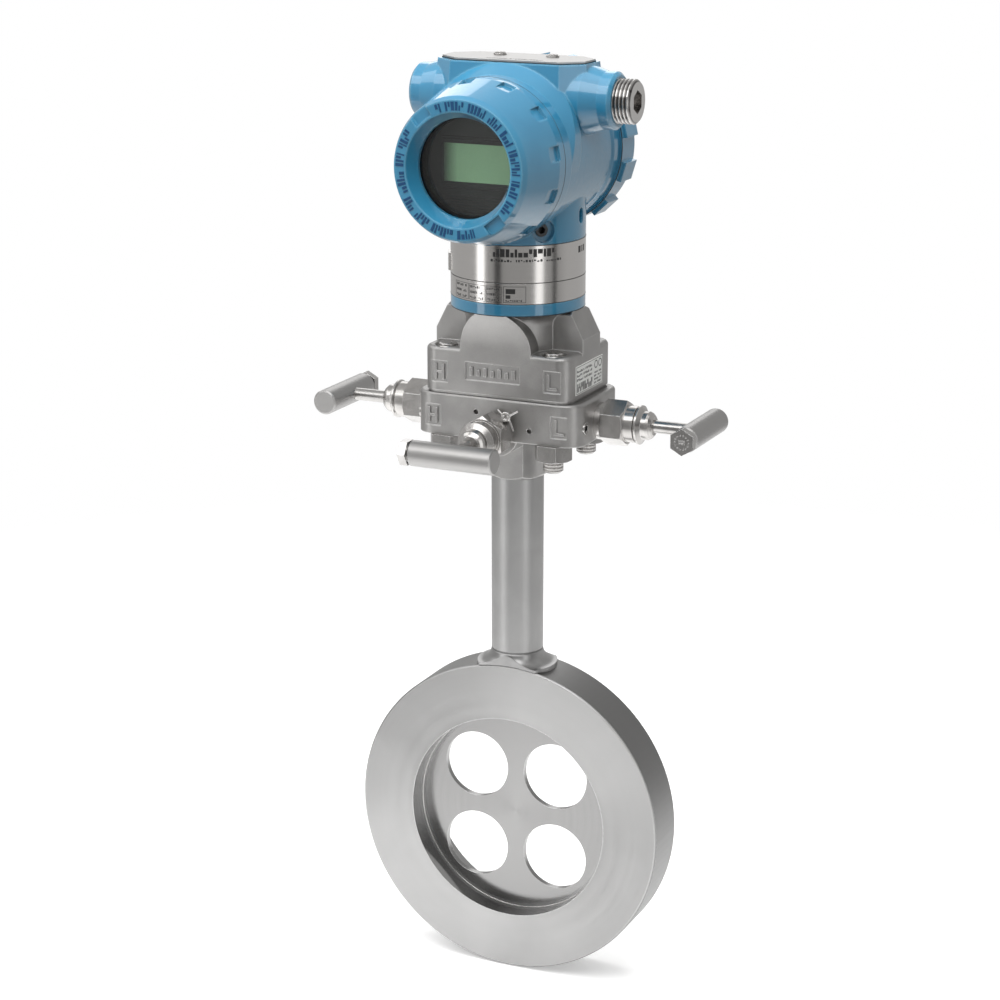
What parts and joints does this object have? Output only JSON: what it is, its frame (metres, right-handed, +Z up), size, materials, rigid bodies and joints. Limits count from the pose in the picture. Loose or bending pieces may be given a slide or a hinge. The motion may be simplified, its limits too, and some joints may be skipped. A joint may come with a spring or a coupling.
{
  "type": "orifice plate flow meter",
  "caption": "Wafer orifice plate flow meter with a welded stem, a three-valve manifold, a sensor module and a screw-covered housing with a display.",
  "frame": {"origin": "centre of the bore in the wafer's upstream gasket face", "axes": "+Y along the bore, downstream; +Z up along the stem; +X to the right seen from upstream"},
  "size_m": [0.195, 0.1387, 0.4488],
  "materials": {
    "wafer_steel": "fine turned, matt",
    "stem_steel": "satin, dressed weld",
    "cast_steel": "blasted casting",
    "turned_steel": "bright turned",
    "valve_steel": "polished turned",
    "handle_steel": "brushed lengthwise",
    "band_steel": "polished sheet",
    "plate_steel": "satin sheet",
    "blue_paint": "gloss epoxy paint on a casting",
    "window_glass": "clear",
    "black_rubber": "matt",
    "black_plastic": "matt",
    "grey_plastic": "potted, matt",
    "lcd_green": "blank display glass",
    "board_green": "lacquered board",
    "label_white": "printed film",
    "seal_white": "filled fluoropolymer"
  },
  "bodies": {
    "meter": {"casting_marks": "cast_steel", "equalizing_bonnet": "valve_steel", "equalizing_gland": "valve_steel", "equalizing_packing": "black_rubber", "flange_nuts": "turned_steel", "flange_studs": "turned_steel", "isolator_diaphragms": "turned_steel", "left_bonnet": "valve_steel", "left_gland": "valve_steel", "left_packing": "black_rubber", "lock_pin": "turned_steel", "manifold_body": "cast_steel", "manifold_plugs": "turned_steel", "module_band": "band_steel", "module_label": "label_white", "module_neck": "turned_steel", "module_ring": "blue_paint", "neck_oring": "black_rubber", "orifice_wafer": "wafer_steel", "process_seals": "seal_white", "right_bonnet": "valve_steel", "right_gland": "valve_steel", "right_packing": "black_rubber", "sensor_cell": "turned_steel", "sensor_module": "cast_steel", "stem": "stem_steel", "stem_weld": "stem_steel"},
    "housing": {"electronics_housing": "blue_paint", "housing_lock_screw": "turned_steel", "lcd_module": "black_plastic", "lcd_glass": "lcd_green", "display_board": "board_green", "electronics_board": "grey_plastic", "terminal_block": "black_plastic", "terminal_screws": "turned_steel", "conduit_plug": "turned_steel", "top_plate": "plate_steel", "top_plate_screws": "turned_steel"},
    "display_cover": {"display_cover": "blue_paint", "window_glass": "window_glass", "glass_retainer": "black_plastic"},
    "display_seal": {"display_cover_oring": "black_rubber"},
    "terminal_cover": {"terminal_cover": "blue_paint"},
    "terminal_seal": {"terminal_cover_oring": "black_rubber"},
    "left_tip": {"left_needle": "valve_steel"},
    "left_spindle": {"left_spindle": "valve_steel", "left_handle": "handle_steel", "left_handle_bolt": "turned_steel"},
    "right_tip": {"right_needle": "valve_steel"},
    "right_spindle": {"right_spindle": "valve_steel", "right_handle": "handle_steel", "right_handle_bolt": "turned_steel"},
    "equalizing_tip": {"equalizing_needle": "valve_steel"},
    "equalizing_spindle": {"equalizing_spindle": "valve_steel", "equalizing_handle": "handle_steel", "equalizing_handle_bolt": "turned_steel"}
  },
  "joints": [
    {"name": "housing_turn", "type": "hinge", "parent": "meter", "child": "housing", "pos_m": [0, 0.0127, 0.3255], "axis": [0, 0, 1], "range_deg": [-180, 180]},
    {"name": "display_cover_travel", "type": "slide", "parent": "housing", "child": "display_seal", "axis": [0, -1, 0], "range_m": [0, 0.0076]},
    {"name": "display_cover_turn", "type": "hinge", "parent": "display_seal", "child": "display_cover", "pos_m": [0, -0.0193, 0.3255], "axis": [0, -1, 0], "range_deg": [0, 1710]},
    {"name": "terminal_cover_travel", "type": "slide", "parent": "housing", "child": "terminal_seal", "axis": [0, 1, 0], "range_m": [0, 0.0076]},
    {"name": "terminal_cover_turn", "type": "hinge", "parent": "terminal_seal", "child": "terminal_cover", "pos_m": [0, 0.0447, 0.3255], "axis": [0, 1, 0], "range_deg": [0, 1710]},
    {"name": "left_valve_travel", "type": "slide", "parent": "meter", "child": "left_tip", "axis": [-1, 0, 0], "range_m": [0, 0.00438]},
    {"name": "left_valve_turn", "type": "hinge", "parent": "left_tip", "child": "left_spindle", "pos_m": [-0.042, 0.0127, 0.2023], "axis": [-1, 0, 0], "range_deg": [0, 1260]},
    {"name": "right_valve_travel", "type": "slide", "parent": "meter", "child": "right_tip", "axis": [1, 0, 0], "range_m": [0, 0.00438]},
    {"name": "right_valve_turn", "type": "hinge", "parent": "right_tip", "child": "right_spindle", "pos_m": [0.042, 0.0127, 0.2023], "axis": [1, 0, 0], "range_deg": [0, 1260]},
    {"name": "equalizing_valve_travel", "type": "slide", "parent": "meter", "child": "equalizing_tip", "axis": [0, -1, 0], "range_m": [0, 0.00438]},
    {"name": "equalizing_valve_turn", "type": "hinge", "parent": "equalizing_tip", "child": "equalizing_spindle", "pos_m": [0, -0.013, 0.198], "axis": [0, -1, 0], "range_deg": [0, 1260]}
  ],
  "couplings": [
    {"joint": "display_cover_travel", "follows": "display_cover_turn", "m_per_rad": 0.00025465},
    {"joint": "terminal_cover_travel", "follows": "terminal_cover_turn", "m_per_rad": 0.00025465},
    {"joint": "left_valve_travel", "follows": "left_valve_turn", "m_per_rad": 0.00019894},
    {"joint": "right_valve_travel", "follows": "right_valve_turn", "m_per_rad": 0.00019894},
    {"joint": "equalizing_valve_travel", "follows": "equalizing_valve_turn", "m_per_rad": 0.00019894}
  ]
}
